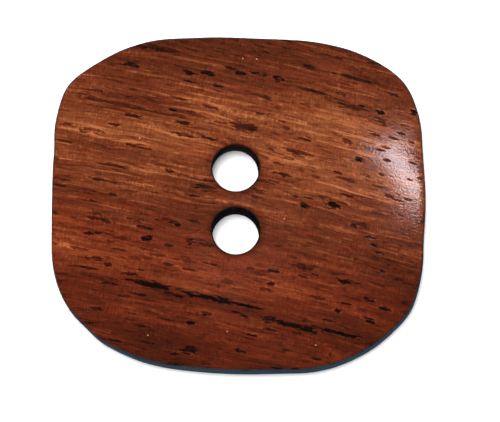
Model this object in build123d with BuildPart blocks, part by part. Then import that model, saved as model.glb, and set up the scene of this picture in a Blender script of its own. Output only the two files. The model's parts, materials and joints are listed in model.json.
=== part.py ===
"""A two-hole sew-on button, shaped from one solid piece of hardwood.

The blank is a rounded rectangle: its left and right sides are nearly straight, and its top and
bottom sides are bowed. The face is a shallow dome and the back is flat, so the button is thickest
at its centre. Both rims and both thread holes are eased, so that cloth and thread don't catch.

Frame: millimetres, origin at the centre of the flat back, +X across the width, +Y up the height
and +Z out of the domed face.
"""

from build123d import *

import os

# Outline
WIDTH = 25.4  # 40 ligne, the trade's size for a one-inch button
HEIGHT = 23.0
SIDE_BOW = 0.15  # how far each side bulges beyond the straight line between its two corners
TOP_BOW = 2.1
BOTTOM_BOW = 2.3
TOP_CORNER_RADIUS = 6.6
BOTTOM_CORNER_RADIUS = 8.0

# Section
CROWN_THICKNESS = 4.0
DOME_RADIUS = 70.0
FACE_RIM_RADIUS = 0.2  # the eased edge between the dome and the side wall
BACK_RIM_RADIUS = 0.35

# Thread holes, one above the other
HOLE_DIAMETER = 3.2
HOLE_SPACING = 4.3
HOLE_FACE_EASE = 0.2
HOLE_BACK_EASE = 0.15

# The corners before rounding, where neighbouring sides would meet
corner_x = WIDTH / 2 - SIDE_BOW
top_y = HEIGHT / 2 - TOP_BOW
bottom_y = BOTTOM_BOW - HEIGHT / 2
middle_y = (top_y + bottom_y) / 2

with BuildPart() as wooden_button:
    # The blank, as a straight prism
    with BuildSketch() as outline:
        with BuildLine():
            ThreePointArc((corner_x, bottom_y), (WIDTH / 2, middle_y), (corner_x, top_y))
            ThreePointArc((corner_x, top_y), (0, HEIGHT / 2), (-corner_x, top_y))
            ThreePointArc((-corner_x, top_y), (-WIDTH / 2, middle_y), (-corner_x, bottom_y))
            ThreePointArc((-corner_x, bottom_y), (0, -HEIGHT / 2), (corner_x, bottom_y))
        make_face()
        fillet(outline.vertices().group_by(Axis.Y)[-1], TOP_CORNER_RADIUS)
        fillet(outline.vertices().group_by(Axis.Y)[0], BOTTOM_CORNER_RADIUS)
    extrude(amount=CROWN_THICKNESS)

    # The domed face. The sphere's poles point along Y, well away from the button.
    with Locations((0, 0, CROWN_THICKNESS - DOME_RADIUS)):
        Sphere(DOME_RADIUS, rotation=(90, 0, 0), mode=Mode.INTERSECT)

    # The eased rims
    dome = wooden_button.faces().sort_by(Axis.Z)[-1]
    fillet(dome.outer_wire().edges(), FACE_RIM_RADIUS)
    back = wooden_button.faces().sort_by(Axis.Z)[0]
    fillet(back.outer_wire().edges(), BACK_RIM_RADIUS)

    # The thread holes, drilled square to the back and eased at both mouths
    with Locations((0, 0, CROWN_THICKNESS)):
        with GridLocations(0, HOLE_SPACING, 1, 2):
            Hole(HOLE_DIAMETER / 2)
    dome = wooden_button.faces().sort_by(Axis.Z)[-1]
    fillet([edge for mouth in dome.inner_wires() for edge in mouth.edges()], HOLE_FACE_EASE)
    back = wooden_button.faces().sort_by(Axis.Z)[0]
    fillet([edge for mouth in back.inner_wires() for edge in mouth.edges()], HOLE_BACK_EASE)

wooden_button.part.label = "wooden_button"

os.makedirs("parts", exist_ok=True)
export_step(wooden_button.part, "parts/wooden_button.step")
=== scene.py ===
"""The look of a two-hole sew-on button: one fine mesh of lacquered hardwood in place of the plain solid.

The wood is treated as a block with a grain of its own. Open vessels, dark strands and pale strands run
through the block along the grain, and each surface that cuts them (the face, the back, the wall and the
thread holes) shows them at the length that its angle to the grain gives.

The wood is worked out in millimetres, and its mesh is turned into metres when it is made. The floor, the
lights and the camera are in metres from the start.
"""

import json
import math

import bpy
import numpy as np
from mathutils import Matrix, Quaternion, Vector
from mathutils.geometry import delaunay_2d_cdt


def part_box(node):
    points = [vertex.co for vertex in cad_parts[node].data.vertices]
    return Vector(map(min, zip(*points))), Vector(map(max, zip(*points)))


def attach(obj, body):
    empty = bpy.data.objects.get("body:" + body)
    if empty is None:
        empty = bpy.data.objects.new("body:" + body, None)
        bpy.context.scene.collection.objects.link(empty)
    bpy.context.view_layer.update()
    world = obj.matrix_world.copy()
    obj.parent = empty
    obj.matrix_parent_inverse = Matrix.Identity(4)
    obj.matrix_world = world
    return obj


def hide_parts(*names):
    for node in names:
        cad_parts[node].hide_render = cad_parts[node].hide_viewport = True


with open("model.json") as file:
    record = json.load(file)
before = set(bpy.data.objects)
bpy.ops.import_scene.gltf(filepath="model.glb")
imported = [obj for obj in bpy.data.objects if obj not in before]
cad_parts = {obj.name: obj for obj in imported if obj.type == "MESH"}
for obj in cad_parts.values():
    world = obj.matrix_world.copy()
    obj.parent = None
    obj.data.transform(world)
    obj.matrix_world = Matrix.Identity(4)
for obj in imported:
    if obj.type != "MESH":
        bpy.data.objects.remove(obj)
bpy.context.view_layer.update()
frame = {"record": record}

MM = 0.001

# The button's size, from the frame
node_low, node_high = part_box("wooden_button")
WIDTH, HEIGHT, CROWN = (np.array(node_high) - np.array(node_low)) / MM
HOLES = [m for m in frame["record"]["mounts"] if m["kind"] == "bore"]
HOLE_CENTRES = [np.array(m["pos_m"][:2]) / MM for m in HOLES]
HOLE_RADIUS = HOLES[0]["dims"]["r_mm"]

# The outline and the section, as they are in the CAD
SIDE_BOW, TOP_BOW, BOTTOM_BOW = 0.15, 2.1, 2.3
TOP_CORNER_RADIUS, BOTTOM_CORNER_RADIUS = 6.6, 8.0
DOME_RADIUS = 70.0
FACE_RIM_RADIUS, BACK_RIM_RADIUS = 0.2, 0.35
HOLE_FACE_EASE, HOLE_BACK_EASE = 0.2, 0.15

# Drilled by hand, a little off square: how far each hole's back mouth stands from its face mouth
HOLE_LEANS = [np.array([-0.19, 0.20]), np.array([-0.15, 0.05])]

# The grain: it falls to the right across the face, faster further right, and climbs out of the face
GRAIN_SLOPE, GRAIN_SWEEP = 0.23, 0.001
DIP, DIP_SWEEP = 0.22, 0.004

# How fine the mesh is: steps between its points on the edges, and along and across the grain
EDGE_STEP = 0.1
FACE_STEP_ALONG, FACE_STEP_ACROSS = 0.45, 0.14
GRAIN_STRETCH = 3.0  # triangles are this much longer along the grain

# How many rings of points round over the face's rim, go down the wall, and round over the back's rim
SIDE_RINGS, HOLE_RINGS = (9, 22, 6), (6, 34, 5)

# Rings of points go round each strand, at these shares of its size
STRAND_RINGS, STRAND_RING_POINTS = (0, 0.6, 1.0, 1.4), 20
CLEAR_OF_STRANDS = 0.2  # the even spread of points stops at this nearness to a strand
CLEAR_OF_EDGES, RINGS_CLEAR_OF_EDGES = 0.08, 0.05  # how near to an edge the spread and the rings come
POINTS_AT_ONCE = 4000  # how many points are compared with the strands at a time

VESSEL_DEPTH = 0.014

# A hole's wall is bare wood: how level the skin is where that begins to fade and ends. Round its mouths lies
# a ring of painted shade, where the lacquer is thinner too: how much, how far from the hole that begins to
# fade, and where it ends
BARE_FADES, BARE_ENDS = 0.125, 0.75
MOUTH_SHADE, MOUTH_SHADE_FADES, MOUTH_SHADE_ENDS = 0.6, 0.29, 0.38

# Where hand sanding left the outline short or full: degrees round from +X, spread in degrees, millimetres
SANDED = [
    (2, 11, 0.14), (35, 6, 0.12), (50, 9, -0.18), (82, 14, -0.16), (117, 9, 0.20), (145, 6, 0.23),
    (155, 38, -0.085), (163, 5, -0.07), (219, 5, -0.15), (232, 10, -0.22), (295, 9, 0.20), (322, 42, 0.20),
    (328, 6, 0.16), (346, 6, -0.08), (132, 8, -0.10), (277, 16, 0.06),
]

# Growth zones: place across the grain in millimetres, and how light the wood is there, in stops
GROWTH_ZONES = [
    (-11.5, -1.3), (-10.0, -0.8), (-8.7, -0.5), (-7.7, -0.7), (-6.5, -0.2), (-5.5, 0.05), (-4.5, -0.1),
    (-3.0, -0.25), (-1.5, -0.4), (-0.5, 0.05), (0.5, 0.0), (1.5, 0.05), (2.5, 0.4), (3.5, 0.4), (4.5, 0.3),
    (5.5, 0.15), (6.5, 0.35), (7.5, -0.05), (8.7, -0.4), (10.0, -0.55), (11.5, -0.7),
]

# Broad patches that are lighter or darker than their zone: partly the wood's own tone, and partly painted
# shade where the light falls off towards the lower right. x, y, radius, stops
TONE_AND_SHADE_PATCHES = [
    (9.0, 6.0, 5.0, 0.45), (12.0, -8.0, 5.0, -0.9), (-11.5, -2.5, 4.0, 0.35), (-7.5, -7.5, 4.0, 0.25),
    (-2.0, -2.8, 3.0, 0.10), (4.0, -3.5, 4.0, -0.12), (-6.5, 10.0, 4.0, -0.38), (1.0, 10.5, 3.0, -0.12),
    (5.0, 7.0, 2.8, 0.22), (-8.0, 3.3, 2.2, -0.22), (-9.5, -5.5, 3.2, -0.32), (12.0, -4.5, 3.0, -0.40),
    (7.3, 0.9, 2.6, -0.20), (-7.1, -6.3, 2.0, 0.25), (3.7, -10.8, 2.2, -0.25),
]

# The slow waves that hand sanding leaves on the face: height, radians per millimetre in x and y, and phase
WAVES = [
    (0.010, 0.55, 0.20, 0.4), (0.008, -0.30, 0.62, 1.9), (0.005, 1.05, -0.45, 3.1), (0.004, 0.6, 1.2, 5.0),
]
WAVES_BEGIN, WAVES_FULL = 1.5, 2.5  # heights above the back

rng = np.random.default_rng(40)


# ---------------------------------------------------------------- the grain


def along(x, y):
    return x - GRAIN_SLOPE * y


def across(x, y):
    return y + GRAIN_SLOPE * x + GRAIN_SWEEP * x * x


def depth(x, y, z):
    """The third grain coordinate. It stays the same along a fibre, as across() does."""
    u = along(x, y)
    return z - DIP * u + DIP_SWEEP * u * u


def dome(x, y):
    return CROWN - DOME_RADIUS + np.sqrt(DOME_RADIUS**2 - x * x - y * y)


def off_grain(u, v):
    """The x and y of a place given along and across the grain. Each round brings them closer."""
    rounds = 12
    x = np.array(u, float)
    for _ in range(rounds):
        y = v - GRAIN_SLOPE * x - GRAIN_SWEEP * x * x
        x = u + GRAIN_SLOPE * y
    return x, v - GRAIN_SLOPE * x - GRAIN_SWEEP * x * x


# ---------------------------------------------------------------- strands in the wood

# Vessels that stand out on the face: x, y, length, width, darkness
FACE_VESSELS = [
    (-7.2, 9.5, 1.0, 0.30, 0.75), (-3.3, 8.9, 0.9, 0.32, 0.75), (-1.9, 8.8, 1.0, 0.32, 0.8),
    (-0.4, 9.15, 0.8, 0.26, 0.7), (0.3, 8.8, 0.8, 0.30, 0.75), (1.6, 8.7, 1.0, 0.26, 0.7),
    (2.9, 8.4, 0.8, 0.36, 0.85), (9.9, 6.1, 0.6, 0.32, 1.0), (12.2, 6.2, 0.6, 0.35, 1.0),
    (-7.1, 5.9, 1.1, 0.28, 0.9), (-8.4, 5.3, 0.8, 0.20, 0.8), (-10.4, 4.9, 0.8, 0.22, 0.8),
    (-3.6, 5.3, 1.2, 0.26, 0.8), (-3.6, 4.5, 1.6, 0.24, 0.8), (-1.8, 4.2, 0.9, 0.24, 0.8),
    (8.4, 2.8, 0.7, 0.34, 1.0), (3.2, 1.7, 1.3, 0.24, 0.8), (-4.5, 2.0, 0.5, 0.28, 0.8),
    (6.6, -0.4, 1.0, 0.46, 1.0), (4.6, -0.4, 0.6, 0.30, 0.9), (-9.6, -1.2, 1.2, 0.22, 0.7),
    (-4.0, -1.7, 0.5, 0.24, 0.8), (-6.3, -1.9, 1.2, 0.20, 0.8), (8.0, -1.8, 0.5, 0.26, 0.8),
    (-10.0, -2.2, 0.7, 0.28, 0.8), (-6.1, -2.6, 0.8, 0.34, 1.0), (9.2, -2.6, 0.7, 0.20, 0.8),
    (-3.1, -2.9, 0.6, 0.26, 0.8), (-4.6, -3.1, 0.6, 0.24, 0.7), (-9.6, -3.9, 0.8, 0.22, 0.7),
    (-8.7, -4.4, 0.5, 0.24, 0.8), (1.0, -4.7, 0.5, 0.22, 0.8), (2.5, -4.9, 1.0, 0.20, 0.8),
    (-3.2, -4.8, 0.9, 0.18, 0.7), (7.4, -5.6, 0.9, 0.34, 0.8), (2.4, -5.8, 0.6, 0.28, 0.9),
    (9.1, -6.8, 0.6, 0.30, 1.0), (10.1, -7.4, 0.9, 0.24, 0.8), (6.9, -7.6, 0.5, 0.26, 0.9),
    (-2.0, -7.8, 0.7, 0.30, 0.8), (-3.1, -8.4, 0.6, 0.30, 0.9), (9.1, -8.3, 0.7, 0.26, 0.9),
]

# Long dark strands on the face: x, y at the middle, length, width, darkness
DARK_STRANDS = [
    (-5.8, -5.75, 3.1, 0.40, 1.0), (-1.6, -6.75, 3.8, 0.36, 1.0), (0.9, -7.3, 1.6, 0.20, 0.9),
    (3.8, -8.6, 3.2, 0.32, 0.9), (7.0, -9.1, 3.0, 0.30, 0.8), (-9.1, 7.0, 5.4, 0.16, 0.75),
    (-6.2, 6.25, 6.6, 0.15, 0.7), (-3.2, 6.0, 3.0, 0.30, 0.5), (-5.3, 10.65, 2.6, 0.42, 0.6),
    (-6.8, -6.4, 1.9, 0.18, 0.7), (-4.0, -6.55, 1.1, 0.20, 0.7), (-8.4, 2.45, 2.1, 0.22, 0.8),
    (8.2, 8.45, 3.1, 0.22, 0.8), (5.4, 7.5, 1.7, 0.20, 0.8), (8.0, 6.45, 2.1, 0.22, 0.7),
    (0.6, 5.0, 1.7, 0.55, 0.9), (4.2, 3.25, 1.6, 0.30, 0.8), (9.9, 3.4, 2.6, 0.22, 0.5),
    (-3.9, 7.05, 1.2, 0.24, 0.7), (5.0, 9.25, 0.9, 0.26, 0.7), (2.1, 7.05, 0.8, 0.24, 0.7),
    (7.6, 1.35, 1.0, 0.24, 0.7), (10.0, 0.85, 1.1, 0.24, 0.6), (2.0, 1.2, 1.4, 0.26, 0.7),
    (-2.0, 0.8, 1.3, 0.45, 0.7), (4.5, -4.6, 1.3, 0.40, 0.6),
]

# Pale strands on the face: x, y at the middle, length, width, paleness
PALE_STRANDS = [
    (-2.8, 9.7, 2.9, 0.24, 0.8), (-6.4, 9.15, 1.0, 0.26, 0.8), (-3.4, 2.65, 3.4, 0.16, 0.8),
    (0.6, -0.45, 6.4, 0.16, 0.9), (6.9, -2.0, 2.0, 0.30, 0.9), (10.8, -2.35, 1.9, 0.26, 0.7),
]

# Small pale specks on the face: x, y
PALE_SPECKS = [(0.45, 9.85), (1.4, 9.8), (5.4, -9.9), (-0.6, -9.0), (-6.0, -9.2), (3.3, -1.35), (-6.6, 4.3)]
PALE_SPECK_SIZE = 0.09

# Smaller vessels all through the block: the ranges of their places across and into the grain, of their half
# sizes both ways, and of their darkness
SCATTERED_VESSELS = 560
SCATTER_RANGES = [(-14.5, 14.5), (-2.6, 8.0), (0.06, 0.12), (0.06, 0.12), (0.25, 0.75)]


def lens_on_face(x, y, length, width):
    """The cross-section of a strand that shows on the face as a dash of this size at this place."""
    step = 0.01
    next_x, next_y = x + step, y - GRAIN_SLOPE * step
    here, beyond = depth(x, y, dome(x, y)), depth(next_x, next_y, dome(next_x, next_y))
    slope = abs(beyond - here) / step
    return across(x, y), here, width / 2, slope * length / 2


def strands(marks):
    """A row for each mark: its place across and into the grain, its half size both ways, and its tone."""
    return np.array([(*lens_on_face(x, y, length, width), tone) for x, y, length, width, tone in marks])


def scattered_vessels():
    return np.column_stack([rng.uniform(low, high, SCATTERED_VESSELS) for low, high in SCATTER_RANGES])


def nearness(points, cores):
    """How far each point is inside each strand: 1 at its middle, 0.5 at its edge, 0 at twice its size."""
    p, q = across(points[:, 0], points[:, 1]), depth(*points.T)
    for first in range(0, len(points), POINTS_AT_ONCE):
        part = slice(first, first + POINTS_AT_ONCE)
        off_p = (p[part, None] - cores[:, 0]) / cores[:, 2]
        off_q = (q[part, None] - cores[:, 1]) / cores[:, 3]
        yield part, np.clip(1 - np.hypot(off_p, off_q) / 2, 0, 1)


def strand_field(points, cores):
    """How far each point is inside its nearest strand, and that strand's tone."""
    inside, tone = np.zeros(len(points)), np.zeros(len(points))
    for part, near in nearness(points, cores):
        nearest = near.argmax(axis=1)
        inside[part] = near.max(axis=1)
        tone[part] = cores[nearest, 4]
    return inside, tone


def groove_field(points, cores):
    """How deep the open vessels are at each point, from 0 to 1."""
    field = np.zeros(len(points))
    for part, near in nearness(points, cores):
        inside = np.clip(2 * near - 1, 0, 1)
        field[part] = (np.sqrt(1 - (1 - inside) ** 2) * cores[:, 4]).max(axis=1)
    return field


# ---------------------------------------------------------------- the outline


def bowed_side(start, end, bow):
    """The centre and radius of the arc that bulges by bow beyond the line from start to end."""
    chord = end - start
    length = np.linalg.norm(chord)
    radius = (length**2 / 4 + bow**2) / (2 * bow)
    inward = np.array([-chord[1], chord[0]]) / length
    return (start + end) / 2 + inward * (radius - bow), radius


def corner_centre(side, following, radius, corner):
    """The centre of the circle of this radius that touches both sides from inside, near the corner."""
    reach, other_reach = side[1] - radius, following[1] - radius
    gap = following[0] - side[0]
    distance = np.linalg.norm(gap)
    base = (reach**2 - other_reach**2 + distance**2) / (2 * distance)
    rise = math.sqrt(reach**2 - base**2) * np.array([-gap[1], gap[0]]) / distance
    middle = side[0] + gap * base / distance
    return min((middle + rise, middle - rise), key=lambda centre: np.linalg.norm(centre - corner))


def arc_points(centre, radius, start, end):
    """Points at even steps round an anticlockwise arc, without its last point."""
    first = math.atan2(*(start - centre)[::-1])
    turn = (math.atan2(*(end - centre)[::-1]) - first) % (2 * math.pi)
    count = round(radius * turn / EDGE_STEP)
    angles = first + turn * np.arange(count) / count
    return centre + radius * np.column_stack([np.cos(angles), np.sin(angles)])


def outline():
    """The outline's points, anticlockwise from the bottom right corner."""
    x = WIDTH / 2 - SIDE_BOW
    top, bottom = HEIGHT / 2 - TOP_BOW, BOTTOM_BOW - HEIGHT / 2
    corners = [np.array(c) for c in ((x, bottom), (x, top), (-x, top), (-x, bottom))]
    radii = (BOTTOM_CORNER_RADIUS, TOP_CORNER_RADIUS, TOP_CORNER_RADIUS, BOTTOM_CORNER_RADIUS)
    bows = (SIDE_BOW, TOP_BOW, SIDE_BOW, BOTTOM_BOW)
    sides = [bowed_side(corners[i], corners[(i + 1) % 4], bows[i]) for i in range(4)]
    rounds = [corner_centre(sides[i - 1], sides[i], radii[i], corners[i]) for i in range(4)]

    def touch(side, rounding):
        towards = rounding - side[0]
        return side[0] + side[1] * towards / np.linalg.norm(towards)

    pieces = []
    for i in range(4):
        start, end = touch(sides[i - 1], rounds[i]), touch(sides[i], rounds[i])
        pieces.append(arc_points(rounds[i], radii[i], start, end))
        pieces.append(arc_points(*sides[i], end, touch(sides[i], rounds[(i + 1) % 4])))
    return sanded(np.concatenate(pieces))


def outward(loop):
    """Unit normals of an anticlockwise loop, pointing out of it."""
    tangent = np.roll(loop, -1, axis=0) - np.roll(loop, 1, axis=0)
    normal = np.column_stack([tangent[:, 1], -tangent[:, 0]])
    return normal / np.linalg.norm(normal, axis=1)[:, None]


def sanded(loop):
    """The loop with the flats and full places of hand sanding."""
    turn = np.degrees(np.arctan2(loop[:, 1], loop[:, 0]))
    shift = np.zeros(len(loop))
    for at, spread, size in SANDED:
        off = (turn - at + 180) % 360 - 180
        shift += size * np.exp(-((off / spread) ** 2))
    return loop + outward(loop) * shift[:, None]


# ---------------------------------------------------------------- the surface


def turn_between(start, end, share):
    """Unit vectors a share of the way round from start to end, row by row."""
    angle = np.arccos(np.clip((start * end).sum(axis=1), -1, 1))[:, None]
    return (np.sin((1 - share) * angle) * start + np.sin(share * angle) * end) / np.sin(angle)


def edge_rings(wall, normal, face_ease, back_ease, rows):
    """Rings of points and normals from the face, over its rim, down the wall and round to the back."""
    face_rows, wall_rows, back_rows = rows
    level = np.column_stack([normal, np.zeros(len(wall))])
    ball = wall - normal * face_ease
    sphere_z = CROWN - DOME_RADIUS
    ball_z = sphere_z + np.sqrt((DOME_RADIUS - face_ease) ** 2 - (ball**2).sum(axis=1))
    ball = np.column_stack([ball, ball_z])
    up = ball - [0, 0, sphere_z]
    up /= np.linalg.norm(up, axis=1)[:, None]
    rings = []
    for share in np.linspace(0, 1, face_rows):
        facing = turn_between(up, level, share)
        rings.append((ball + facing * face_ease, facing))
    for share in np.linspace(0, 1, wall_rows + 1)[1:]:
        z = ball_z + (back_ease - ball_z) * share
        rings.append((np.column_stack([wall, z]), level))
    back_ball = np.column_stack([wall - normal * back_ease, np.full(len(wall), back_ease)])
    down = np.tile([0.0, 0.0, -1.0], (len(wall), 1))
    for share in np.linspace(0, 1, back_rows)[1:]:
        facing = turn_between(level, down, share)
        rings.append((back_ball + facing * back_ease, facing))
    return rings


def leaning(rings, lean):
    """A hole's rings, moved sideways from nothing at its face mouth to lean at its back mouth."""
    top = rings[0][0][:, 2]
    moved = []
    for points, normals in rings:
        points = points.copy()
        points[:, :2] += lean * (1 - points[:, 2] / top)[:, None]
        moved.append((points, normals))
    return moved


class Surface:
    """The button's skin as it is put together: points, normals and faces."""

    def __init__(self):
        self.points, self.normals, self.faces, self.count = [], [], [], 0

    def add(self, points, normals):
        """Adds points and returns their numbers."""
        self.points.append(points)
        self.normals.append(normals)
        self.count += len(points)
        return np.arange(self.count - len(points), self.count)

    def add_rings(self, rings, flip):
        """Adds an edge's rings, joined by quads. Returns the numbers of its first and last rings."""
        numbers = [self.add(*ring) for ring in rings]
        for upper, lower in zip(numbers, numbers[1:]):
            quads = np.column_stack([upper, lower, np.roll(lower, -1), np.roll(upper, -1)])
            self.faces += (quads[:, ::-1] if flip else quads).tolist()
        return numbers[0], numbers[-1]


def room_left(x, y, border, mouths):
    """Each place's distance inside the border loop or outside the nearest hole's mouth, roughly."""
    turn = np.arctan2(border[:, 1], border[:, 0])
    order = np.argsort(turn)
    reach = np.interp(np.arctan2(y, x), turn[order], np.hypot(*border.T)[order], period=2 * math.pi)
    room = reach - np.hypot(x, y)
    for centre, radius in mouths:
        room = np.minimum(room, np.hypot(x - centre[0], y - centre[1]) - radius)
    return room


def ring_places(cores, height, share):
    """Where a surface of this height function cuts each strand's skin, share times the strand's size."""
    reach, halvings = 16.0, 30
    turns = np.linspace(0, 2 * math.pi, STRAND_RING_POINTS + 1)[:-1] if share else np.array([0.0])
    places = []
    for p, q, half_p, half_q, _ in cores:
        v = p + share * half_p * np.sin(turns)
        goal = q + share * half_q * np.cos(turns)
        low, high = np.full(len(turns), -reach), np.full(len(turns), reach)
        for _ in range(halvings):
            x = (low + high) / 2
            y = v - GRAIN_SLOPE * x - GRAIN_SWEEP * x * x
            beyond = depth(x, y, height(x, y)) < goal
            high = np.where(beyond, x, high)
            low = np.where(beyond, low, x)
        places.append(np.column_stack([x, y]))
    return np.concatenate(places)


def cap_points(height, border, mouths, cores):
    """Points for the face or the back: an even spread along the grain, and rings round each strand."""
    margin = 3.0  # the rows and columns lean, so they reach this far past the outline
    half = WIDTH / 2 + margin
    rows = np.arange(-half, half, FACE_STEP_ACROSS)
    columns = np.arange(-half, half, FACE_STEP_ALONG)
    u, v = np.meshgrid(columns, rows)
    u = u + np.where(np.arange(len(rows)) % 2, FACE_STEP_ALONG / 2, 0)[:, None]
    x, y = off_grain(u.ravel(), v.ravel())
    keep = room_left(x, y, border, mouths) > CLEAR_OF_EDGES
    spread = np.column_stack([x, y])[keep]
    lifted = np.column_stack([spread, height(*spread.T)])
    clear = np.ones(len(lifted), bool)
    for part, near in nearness(lifted, cores):
        clear[part] = near.max(axis=1) < CLEAR_OF_STRANDS
    rings = np.concatenate([ring_places(cores, height, share) for share in STRAND_RINGS])
    rings = rings[room_left(*rings.T, border, mouths) > RINGS_CLEAR_OF_EDGES]
    return np.concatenate([spread[clear], rings])


def stray(triangles, flat, border_size, joined_size):
    """Which triangles fill a hole, or a place where the border bends inwards."""
    over_a_hole = (triangles >= border_size).all(axis=1) & (triangles < joined_size).all(axis=1)
    first, second, third = flat[np.sort(triangles, axis=1)].transpose(1, 2, 0)
    to_second, to_third = second - first, third - first
    clockwise = to_second[0] * to_third[1] < to_second[1] * to_third[0]
    return over_a_hole | ((triangles < border_size).all(axis=1) & clockwise)


def add_cap(surface, height, facing, loops, mouths, cores, flip):
    """Fills the face or the back between its outer loop and its holes' loops."""
    edges, joined = [], []
    for loop in loops:
        start = len(joined)
        joined += loop.tolist()
        size = len(loop)
        edges += [(start + i, start + (i + 1) % size) for i in range(size)]
    skin = np.concatenate(surface.points)
    border = skin[loops[0]][:, :2]
    inner = cap_points(height, border, mouths, cores)
    points = np.column_stack([inner, height(*inner.T)])
    numbers = np.concatenate([joined, surface.add(points, facing(points))])
    flat = np.concatenate([skin[joined][:, :2], inner])
    flat = np.column_stack([along(*flat.T) / GRAIN_STRETCH, across(*flat.T)])
    inside_the_edges, same_place = 1, 1e-6
    places = [Vector(place) for place in flat]
    result = delaunay_2d_cdt(places, edges, [], inside_the_edges, same_place, True)
    original = np.array([ids[0] for ids in result[3]])
    triangles = original[np.array(result[2])]
    triangles = numbers[triangles[~stray(triangles, flat, len(loops[0]), len(joined))]]
    surface.faces += (triangles[:, ::-1] if flip else triangles).tolist()


def zone_tone_and_shade(x, y):
    """How light the wood is at a place, in stops, with painted shade in some of its broad patches."""
    stops = np.interp(across(x, y), *np.array(GROWTH_ZONES).T)
    # some of these patches are painted shade, where the light falls off towards the lower right
    for at_x, at_y, radius, lighter in TONE_AND_SHADE_PATCHES:
        stops += lighter * np.exp(-((x - at_x) ** 2 + (y - at_y) ** 2) / radius**2)
    return stops


def waviness(x, y, z):
    """The slow rise and fall that hand sanding leaves on the face."""
    share = np.clip((z - WAVES_BEGIN) / (WAVES_FULL - WAVES_BEGIN), 0, 1)
    return share * sum(size * np.sin(a * x + b * y + phase) for size, a, b, phase in WAVES)


def dome_facing(points):
    return (points - [0, 0, CROWN - DOME_RADIUS]) / DOME_RADIUS


def back_height(x, y):
    return np.zeros(len(x))


def back_facing(points):
    return np.tile([0.0, 0.0, -1.0], (len(points), 1))


def button_surface(cores):
    """The smooth skin: the side wall, the walls of the holes, the face and the back."""
    surface = Surface()
    wall = outline()
    rings = edge_rings(wall, outward(wall), FACE_RIM_RADIUS, BACK_RIM_RADIUS, SIDE_RINGS)
    loops = [surface.add_rings(rings, flip=False)]
    turns = np.linspace(0, 2 * math.pi, round(2 * math.pi * HOLE_RADIUS / EDGE_STEP) + 1)[:-1]
    spokes = np.column_stack([np.cos(turns), np.sin(turns)])
    face_mouths, back_mouths = [], []
    for centre, lean in zip(HOLE_CENTRES, HOLE_LEANS):
        rings = edge_rings(centre + HOLE_RADIUS * spokes, -spokes, HOLE_FACE_EASE, HOLE_BACK_EASE, HOLE_RINGS)
        loops.append(surface.add_rings(leaning(rings, lean), flip=True))
        face_mouths.append((centre, HOLE_RADIUS + HOLE_FACE_EASE))
        back_mouths.append((centre + lean, HOLE_RADIUS + HOLE_BACK_EASE))
    face_loops, back_loops = zip(*loops)
    add_cap(surface, dome, dome_facing, face_loops, face_mouths, cores, flip=False)
    add_cap(surface, back_height, back_facing, back_loops, back_mouths, cores, flip=True)
    return surface


def bare_wood_and_shade(points, normals):
    """How much cut, uncoated wood shows: all of it down the holes; round their mouths, a ring that the
    material turns into painted shade, with thinner lacquer.
    """
    from_hole = np.hypot(points[:, 0], np.abs(points[:, 1]) - HOLE_CENTRES[0][1]) - HOLE_RADIUS
    # a ring round each mouth that the material darkens into painted shade
    mouth_shade = np.interp(from_hole, [MOUTH_SHADE_FADES, MOUTH_SHADE_ENDS], [MOUTH_SHADE, 0])
    steep = np.interp(np.abs(normals[:, 2]), [BARE_FADES, BARE_ENDS], [1, 0])
    return np.maximum(np.where(from_hole < HOLE_FACE_EASE, steep, 0), mouth_shade)


def skin_object(name, shape, faces, attributes, material):
    """A smooth mesh of these points in millimetres, with each attribute's value at each point."""
    mesh = bpy.data.meshes.new(name)
    mesh.from_pydata((shape * MM).tolist(), [], faces)
    mesh.validate()
    for attribute, values in attributes.items():
        mesh.attributes.new(attribute, "FLOAT", "POINT").data.foreach_set("value", values)
    mesh.shade_smooth()
    mesh.materials.append(material)
    skin = bpy.data.objects.new(name, mesh)
    bpy.context.scene.collection.objects.link(skin)
    return skin


def build_button(material):
    kinds = {
        "dark": strands(DARK_STRANDS),
        "pale": strands(PALE_STRANDS),
        "vessel": np.concatenate([strands(FACE_VESSELS), scattered_vessels()]),
    }
    specks = strands([(x, y, PALE_SPECK_SIZE, PALE_SPECK_SIZE, 1.0) for x, y in PALE_SPECKS])
    surface = button_surface(np.concatenate([*kinds.values(), specks]))
    points, normals = np.concatenate(surface.points), np.concatenate(surface.normals)
    fibre = np.array([1.0, -GRAIN_SLOPE, DIP])
    attributes = {
        # the growth zones' tone, with painted shade in some broad patches
        "zone_and_shade": zone_tone_and_shade(points[:, 0], points[:, 1]),
        "end_grain": np.abs(normals @ (fibre / np.linalg.norm(fibre))),
        # how steep the skin is; the material darkens steep places into painted shade
        "wall": 1 - np.abs(normals[:, 2]),
        # bare wood down the holes; the material darkens it, and the ring round their mouths, into painted
        # shade
        "bare_and_shade": bare_wood_and_shade(points, normals),
        "specks": strand_field(points, specks)[0],
    }
    for kind, cores in kinds.items():
        attributes[kind + "_near"], attributes[kind + "_tone"] = strand_field(points, cores)

    shape = points.copy()
    shape[:, 2] += waviness(*points.T)
    shape -= normals * (VESSEL_DEPTH * groove_field(points, kinds["vessel"]))[:, None]
    return skin_object("wooden_button_skin", shape, surface.faces, attributes, material)


# ---------------------------------------------------------------- the wood's material


def srgb(red, green, blue):
    """A colour given as 0 to 255 screen values, as Blender's linear one, by the sRGB standard's formula."""
    screen = [value / 255 for value in (red, green, blue)]
    linear = [c / 12.92 if c <= 0.04 else ((c + 0.055) / 1.055) ** 2.4 for c in screen]
    return (*linear, 1.0)


PLAIN, DETAILED = 1.0, 2.0  # how much fine detail a noise has

# Sockets of the texture coordinate, attribute and mix nodes that are picked by number
GENERATED, OBJECT = 0, 3
FACTOR = 2
COLOUR_UNDER, COLOUR_OVER, MIXED_COLOUR = 6, 7, 2


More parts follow.
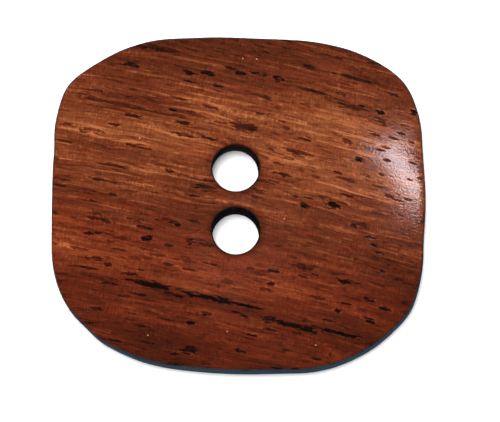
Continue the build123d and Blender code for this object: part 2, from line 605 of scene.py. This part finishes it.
class Nodes:
    """Writes a node tree as calls. Each call adds one node and returns its main output."""

    def __init__(self, tree):
        self.tree = tree

    def add(self, kind, inputs=(), output=0, **settings):
        node = self.tree.nodes.new(kind)
        for name, value in settings.items():
            setattr(node, name, value)
        for name, value in dict(inputs).items():
            if isinstance(value, bpy.types.NodeSocket):
                self.tree.links.new(value, node.inputs[name])
            else:
                node.inputs[name].default_value = value
        return node.outputs[output]

    def math(self, operation, *values):
        return self.add("ShaderNodeMath", enumerate(values), operation=operation)

    def scaled(self, vector, *factors):
        return self.add("ShaderNodeVectorMath", {0: vector, 1: factors}, operation="MULTIPLY")

    def separate(self, vector):
        node = self.tree.nodes.new("ShaderNodeSeparateXYZ")
        self.tree.links.new(vector, node.inputs[0])
        return tuple(node.outputs)

    def noise(self, vector, cycles, detail=PLAIN):
        """Noise between 0 and 1, with this many cycles per millimetre along, across and into the grain."""
        return self.add("ShaderNodeTexNoise", {
            "Vector": self.scaled(vector, *cycles), "Scale": 1.0, "Detail": detail, "Roughness": 0.5})

    def centred(self, noise):
        return self.math("SUBTRACT", noise, 0.5)

    def bump(self, height, millimetres):
        return self.add("ShaderNodeBump", {
            "Height": height, "Strength": BUMP_STRENGTH, "Distance": millimetres * MM})

    def spread(self, value, low, high, to_low=0.0, to_high=1.0):
        return self.add("ShaderNodeMapRange", {
            "Value": value, "From Min": low, "From Max": high, "To Min": to_low, "To Max": to_high})

    def blend(self, factor, under, over, mode="MIX"):
        inputs = {0: factor, COLOUR_UNDER: under, COLOUR_OVER: over}
        return self.add("ShaderNodeMix", inputs, MIXED_COLOUR,
                        data_type="RGBA", blend_type=mode, clamp_factor=True)

    def attribute(self, name):
        return self.add("ShaderNodeAttribute", output=FACTOR, attribute_name=name)

    def ramp(self, value, stops):
        """A colour for each value, from a list of values and screen colours."""
        low, high = stops[0][0], stops[-1][0]
        colour = self.add("ShaderNodeValToRGB", {0: self.spread(value, low, high)})
        elements = colour.node.color_ramp.elements
        elements[0].color, elements[1].color = srgb(*stops[0][1]), srgb(*stops[-1][1])
        for place, screen_colour in stops[1:-1]:
            elements.new((place - low) / (high - low)).color = srgb(*screen_colour)
        return colour


# From here on, strengths are in stops, and cycles are per millimetre along, across and into the grain

# The wood's colour by its lightness, in stops above or below its middle tone
WOOD_COLOURS = [
    (-2.6, (13, 6, 4)), (-1.84, (42, 16, 6)), (-0.94, (62, 24, 8)), (-0.45, (75, 30, 11)),
    (0.0, (88, 38, 17)), (0.42, (102, 50, 23)), (0.75, (114, 60, 30)), (1.3, (143, 83, 47)),
]
PALE_SPECK_COLOUR, PALE_SPECK_BEGINS, PALE_SPECK_FULL = (185, 135, 115), 0.4, 0.7

# The wood is redder on one side of the grain: the middle and half width of the change across the grain, in
# millimetres, what the redder wood keeps of red, green and blue, and the noise that breaks the change up
RED_BELOW, RED_CHANGE, RED_TINT = -2.2, 2.0, (1.0, 0.72, 0.60, 1.0)
BLUSH_CYCLES, BLUSH_AMOUNT = (0.4, 2.6, 1.6), 3.0

# A slight wave in the fibres: cycles, and millimetres across the grain
FIBRE_WAVE_CYCLES, FIBRE_WAVE = (0.22, 0.35, 0.35), 0.5

# Layers of figure: cycles and strength. Theirs and the rays' are for one standard deviation of the noise
NOISE_SPREAD = 0.11
FIGURE = [
    ((0.10, 0.28, 0.28), 0.14), ((0.06, 1.2, 0.6), 0.18), ((0.06, 3.4, 1.1), 0.20), ((0.15, 8.5, 4.0), 0.11),
]

# Rays are fine ticks across the grain, and are stronger in patches: the patches' lowest and highest noise,
# and the shares of the strength that go with them
RAY_CYCLES, RAY_STRENGTH = (9.5, 2.6, 1.2), 0.17
RAY_PATCH_CYCLES, RAY_PATCHES = (0.2, 0.7, 0.7), (0.38, 0.62, 0.6, 1.2)

# Flecks and hairlines of fibre: cycles, the noise at which they begin and are full, and strength
FLECKS = [
    ((0.5, 6.5, 6.5), 0.62, 0.70, 0.45), ((0.6, 5.5, 5.5), 0.38, 0.32, -0.7),
    ((0.15, 5.8, 3.0), 0.38, 0.31, -0.8),
]

# Pale hairlines are weaker in the redder wood: cycles, beginning, fullness, and the two strengths
PALE_HAIR_CYCLES, PALE_HAIR_BEGINS, PALE_HAIR_FULL = (0.06, 4.8, 0.9), 0.61, 0.67
PALE_HAIR, PALE_HAIR_IN_RED = 0.75, 0.35

# Each kind of strand has its edge broken up by noise: cycles, amount and softness
STRAND_EDGES = {
    "pale": ((0.8, 8.0, 8.0), 1.6, 0.12),
    "dark": ((0.8, 8.0, 8.0), 1.3, 0.13),
    "vessel": ((2.2, 7.5, 7.5), 1.4, 0.10),
}
PALE_STRENGTH, DARK_STRENGTH, VESSEL_STRENGTH = 0.7, -2.4, -2.8

# Some vessels are filled in the middle: cycles, the noise at which they begin and are full, how much they are
# filled, and the nearness at which the filling begins and is full
FILLED_CYCLES, FILLED_BEGINS, FILLED_FULL, FILLED = (0.4, 1.1, 1.1), 0.55, 0.61, 0.75
VESSEL_MIDDLE = (0.64, 0.80)

# A painted glint of the lacquer lies as a paler border along a vessel's edge: the nearness at which each of
# its sides begins and is full
GLINT_OUTSIDE, GLINT_INSIDE, GLINT_STRENGTH = (0.26, 0.40), (0.54, 0.44), 0.45

# Walls are darker, with painted shade that grows with their steepness, and darker still where they cut the
# fibres; the drilled holes are darkest, where the bare wood also carries painted shade: the steepness and the
# share of end grain at which that begins and is full
WALL_SHADE, WALL_SHADE_STRENGTH = (0.02, 0.35), -1.2
END_GRAIN, END_GRAIN_STRENGTH = (0.35, 1.0), -0.6
BARE_AND_SHADE_STRENGTH = -0.9

# The lacquer sinks into the vessels: the nearness at which that begins and is full, and how much of it goes
SUNK_BEGINS, SUNK_FULL, SUNK = 0.38, 0.50, 0.9

# Its skin is a little uneven: cycles, how much the grain shows in it, and bump heights in millimetres
PEEL_CYCLES, GRAIN_IN_PEEL, BUMP_STRENGTH = (6.0, 7.0, 7.0), 0.04, 0.4
WOOD_BUMP, COAT_BUMP = 0.02, 0.009
WOOD_ROUGHNESS, OPEN_WOOD_ROUGHER, COAT_ROUGHNESS = 0.5, 0.3, 0.10
WOOD_IOR, WOOD_SPECULAR, COAT_IOR = 1.45, 0.15, 1.5


def grain_place(nodes):
    """The same grain coordinates as the mesh has, in millimetres, with a slight wave in the fibres."""
    place = nodes.scaled(nodes.add("ShaderNodeTexCoord", output=OBJECT), 1 / MM, 1 / MM, 1 / MM)
    x, y, z = nodes.separate(place)
    u = nodes.math("MULTIPLY_ADD", y, -GRAIN_SLOPE, x)
    v = nodes.math("MULTIPLY_ADD", x, GRAIN_SLOPE, y)
    v = nodes.math("MULTIPLY_ADD", nodes.math("MULTIPLY", x, x), GRAIN_SWEEP, v)
    q = nodes.math("MULTIPLY_ADD", u, -DIP, z)
    q = nodes.math("MULTIPLY_ADD", nodes.math("MULTIPLY", u, u), DIP_SWEEP, q)
    straight = nodes.add("ShaderNodeCombineXYZ", {0: u, 1: v, 2: q})
    v = nodes.math("MULTIPLY_ADD", nodes.noise(straight, FIBRE_WAVE_CYCLES), FIBRE_WAVE, v)
    return nodes.add("ShaderNodeCombineXYZ", {0: u, 1: v, 2: q})


def fibres(nodes, grain, redder):
    """The wood's tone in stops, from its growth zones and broad patches, some of them painted shade, down to
    its finest hairlines.
    """
    tone = nodes.attribute("zone_and_shade")
    for cycles, strength in FIGURE:
        noise = nodes.centred(nodes.noise(grain, cycles, DETAILED))
        tone = nodes.math("MULTIPLY_ADD", noise, strength / NOISE_SPREAD, tone)
    patches = nodes.spread(nodes.noise(grain, RAY_PATCH_CYCLES), *RAY_PATCHES)
    rays = nodes.math("MULTIPLY", nodes.centred(nodes.noise(grain, RAY_CYCLES)), patches)
    tone = nodes.math("MULTIPLY_ADD", rays, RAY_STRENGTH / NOISE_SPREAD, tone)
    for cycles, begins, full, strength in FLECKS:
        flecks = nodes.spread(nodes.noise(grain, cycles), begins, full)
        tone = nodes.math("MULTIPLY_ADD", flecks, strength, tone)
    hairs = nodes.spread(nodes.noise(grain, PALE_HAIR_CYCLES), PALE_HAIR_BEGINS, PALE_HAIR_FULL)
    strength = nodes.spread(redder, 0.0, 1.0, PALE_HAIR, PALE_HAIR_IN_RED)
    return nodes.math("MULTIPLY_ADD", hairs, strength, tone)


def strand_mask(nodes, grain, kind):
    """Where one kind of strand shows, with its edge broken up by noise."""
    cycles, amount, softness = STRAND_EDGES[kind]
    noise = nodes.centred(nodes.noise(grain, cycles, DETAILED))
    edge = nodes.math("MULTIPLY_ADD", noise, amount, nodes.attribute(kind + "_near"))
    mask = nodes.spread(edge, 0.5 - softness, 0.5 + softness)
    return nodes.math("MULTIPLY", mask, nodes.attribute(kind + "_tone"))


def vessel_mask(nodes, grain):
    """The vessels' strand mask, paler in the middle of those that are filled."""
    filled = nodes.spread(nodes.noise(grain, FILLED_CYCLES), FILLED_BEGINS, FILLED_FULL, 0.0, FILLED)
    filled = nodes.math("MULTIPLY", filled, nodes.spread(nodes.attribute("vessel_near"), *VESSEL_MIDDLE))
    open_share = nodes.math("SUBTRACT", 1.0, filled)
    return nodes.math("MULTIPLY", strand_mask(nodes, grain, "vessel"), open_share)


def vessel_glint(nodes):
    # A painted glint of the lacquer: a paler border along each vessel's edge
    near = nodes.attribute("vessel_near")
    border = nodes.math("MINIMUM", nodes.spread(near, *GLINT_OUTSIDE), nodes.spread(near, *GLINT_INSIDE))
    return nodes.math("MULTIPLY", border, nodes.attribute("vessel_tone"))


def wood_tone(nodes, grain, redder, vessel):
    """The wood's tone in stops, with its strands and vessels, a painted glint along the vessels' edges, and
    painted shade on the walls and down the holes.
    """
    parts = [
        (strand_mask(nodes, grain, "pale"), PALE_STRENGTH),
        (strand_mask(nodes, grain, "dark"), DARK_STRENGTH),
        (vessel, VESSEL_STRENGTH),
        # a painted glint along the vessels' edges
        (vessel_glint(nodes), GLINT_STRENGTH),
        # painted shade on the walls and rims, darker the steeper they stand
        (nodes.spread(nodes.attribute("wall"), *WALL_SHADE), WALL_SHADE_STRENGTH),
        (nodes.spread(nodes.attribute("end_grain"), *END_GRAIN), END_GRAIN_STRENGTH),
        # painted shade down the holes and round their mouths
        (nodes.attribute("bare_and_shade"), BARE_AND_SHADE_STRENGTH),
    ]
    tone = fibres(nodes, grain, redder)
    for mask, strength in parts:
        tone = nodes.math("MULTIPLY_ADD", mask, strength, tone)
    return tone


def wood_colour(nodes, grain, redder, tone):
    blush = nodes.centred(nodes.noise(grain, BLUSH_CYCLES, DETAILED))
    redder = nodes.math("MULTIPLY_ADD", blush, BLUSH_AMOUNT, redder)
    colour = nodes.blend(redder, nodes.ramp(tone, WOOD_COLOURS), RED_TINT, "MULTIPLY")
    specks = nodes.spread(nodes.attribute("specks"), PALE_SPECK_BEGINS, PALE_SPECK_FULL)
    return nodes.blend(specks, colour, srgb(*PALE_SPECK_COLOUR))


def wood_material():
    material = bpy.data.materials.new("lacquered_hardwood")
    material.use_nodes = True
    tree = material.node_tree
    tree.nodes.clear()
    nodes = Nodes(tree)
    grain = grain_place(nodes)
    _, across_grain, _ = nodes.separate(grain)
    redder = nodes.spread(across_grain, RED_BELOW + RED_CHANGE, RED_BELOW - RED_CHANGE)
    vessel = vessel_mask(nodes, grain)
    tone = wood_tone(nodes, grain, redder, vessel)

    bare_and_shade = nodes.attribute("bare_and_shade")
    peel = nodes.noise(grain, PEEL_CYCLES, DETAILED)
    relief = nodes.math("MULTIPLY_ADD", tone, GRAIN_IN_PEEL, peel)
    open_wood = nodes.math("MAXIMUM", vessel, bare_and_shade)
    sunk = nodes.spread(nodes.attribute("vessel_near"), SUNK_BEGINS, SUNK_FULL, 0.0, SUNK)
    shader = nodes.add("ShaderNodeBsdfPrincipled", {
        "Base Color": wood_colour(nodes, grain, redder, tone),
        "Roughness": nodes.math("MULTIPLY_ADD", open_wood, OPEN_WOOD_ROUGHER, WOOD_ROUGHNESS),
        "Normal": nodes.bump(relief, WOOD_BUMP),
        "IOR": WOOD_IOR,
        "Specular IOR Level": WOOD_SPECULAR,
        "Coat Weight": nodes.math("SUBTRACT", 1.0, nodes.math("MAXIMUM", sunk, bare_and_shade)),
        "Coat Normal": nodes.bump(relief, COAT_BUMP),
        "Coat Roughness": COAT_ROUGHNESS,
        "Coat IOR": COAT_IOR,
    })
    output = tree.nodes.new("ShaderNodeOutputMaterial")
    tree.links.new(shader, output.inputs["Surface"])
    return material


# ---------------------------------------------------------------- the studio


def plain_material(name, colour, roughness):
    material = bpy.data.materials.new(name)
    material.use_nodes = True
    shader = material.node_tree.nodes["Principled BSDF"]
    shader.inputs["Base Color"].default_value = colour
    shader.inputs["Roughness"].default_value = roughness
    return material


# The floor lies a hair below the back
FLOOR_HALF, FLOOR_GAP = 0.45, 0.01 * MM
FLOOR_COLOUR, FLOOR_ROUGHNESS = (246, 248, 251), 0.9

# Lights: direction, size, watts, colour, whether the lacquer mirrors it, degrees turned about its beam
LIGHT_DISTANCE = 0.5
LIGHTS = {
    "overhead": ((-0.02, 0.03, 1.0), (0.12, 0.12), 3.2, (1.0, 0.98, 0.96), False, 0),
    "softbox": ((-0.10, 0.05, 1.0), (0.60, 0.60), 2.15, (1.0, 0.98, 0.96), False, 0),
    "window": ((0.343, 0.206, 0.91), (0.032, 0.082), 0.14, (1.0, 0.90, 0.95), True, 95),
}

# The room that the lacquer mirrors: its colours, and the heights on the sky between which they change
HORIZON, OVERHEAD, BELOW = (205, 211, 220), (34, 34, 34), (60, 80, 95)
HORIZON_TO_OVERHEAD, HORIZON_TO_BELOW = (0.05, 0.6), (-0.02, -0.7)

# The camera looks down on the face, a little from below and from the right
CAMERA_RIGHT, CAMERA_BELOW = math.radians(1.5), math.radians(8.3)
CAMERA_TARGET, CAMERA_DISTANCE, CAMERA_LENS = Vector((0.92, -0.61, 2.5)) * MM, 250 * MM, 263.3
CLIP_START, CLIP_END = 0.01, 10


def build_floor():
    mesh = bpy.data.meshes.new("floor")
    corners = [(x * FLOOR_HALF, y * FLOOR_HALF, 0) for x, y in ((-1, -1), (1, -1), (1, 1), (-1, 1))]
    mesh.from_pydata(corners, [], [(0, 1, 2, 3)])
    mesh.materials.append(plain_material("pale_paper", srgb(*FLOOR_COLOUR), FLOOR_ROUGHNESS))
    floor = bpy.data.objects.new("floor", mesh)
    floor.location.z = -FLOOR_GAP
    floor.visible_glossy = False  # the lacquered wall mirrors the dark room instead
    bpy.context.scene.collection.objects.link(floor)


def area_light(name, direction, size, power, colour, shows_in_gloss, turn):
    """A soft light that points at the button from this direction, turned this many degrees about its beam."""
    light = bpy.data.lights.new(name, "AREA")
    light.shape = "RECTANGLE"
    light.size, light.size_y = size
    light.energy = power
    light.color = colour
    lamp = bpy.data.objects.new(name, light)
    towards = Vector(direction).normalized()
    lamp.location = towards * LIGHT_DISTANCE
    lamp.rotation_mode = "QUATERNION"
    lamp.rotation_quaternion = towards.to_track_quat("Z", "Y") @ Quaternion((0, 0, 1), math.radians(turn))
    lamp.visible_glossy = shows_in_gloss
    bpy.context.scene.collection.objects.link(lamp)


def build_world():
    """A dim room: pale round the horizon, dark overhead, and dark blue below the table."""
    world = bpy.data.worlds.new("studio")
    world.use_nodes = True
    nodes = Nodes(world.node_tree)
    _, _, height = nodes.separate(nodes.add("ShaderNodeTexCoord", output=GENERATED))
    above = nodes.blend(nodes.spread(height, *HORIZON_TO_OVERHEAD), srgb(*HORIZON), srgb(*OVERHEAD))
    room = nodes.blend(nodes.spread(height, *HORIZON_TO_BELOW), above, srgb(*BELOW))
    background = world.node_tree.nodes["Background"]
    world.node_tree.links.new(room, background.inputs["Color"])
    bpy.context.scene.world = world


def build_camera():
    back = Vector((math.sin(CAMERA_RIGHT), -math.sin(CAMERA_BELOW), 0))
    back.z = math.sqrt(1 - back.length_squared)
    right = Vector((0, 1, 0)).cross(back).normalized()
    turn = Matrix((right, back.cross(right), back)).transposed().to_4x4()
    camera = bpy.data.objects.new("camera", bpy.data.cameras.new("camera"))
    camera.data.lens = CAMERA_LENS
    camera.data.clip_start, camera.data.clip_end = CLIP_START, CLIP_END
    camera.matrix_world = Matrix.Translation(CAMERA_TARGET + back * CAMERA_DISTANCE) @ turn
    bpy.context.scene.collection.objects.link(camera)
    bpy.context.scene.camera = camera


button = build_button(wood_material())
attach(button, "root")
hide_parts("wooden_button")
build_floor()
for light_name, settings in LIGHTS.items():
    area_light(light_name, *settings)
build_world()
build_camera()
bpy.context.scene.view_settings.view_transform = "Standard"
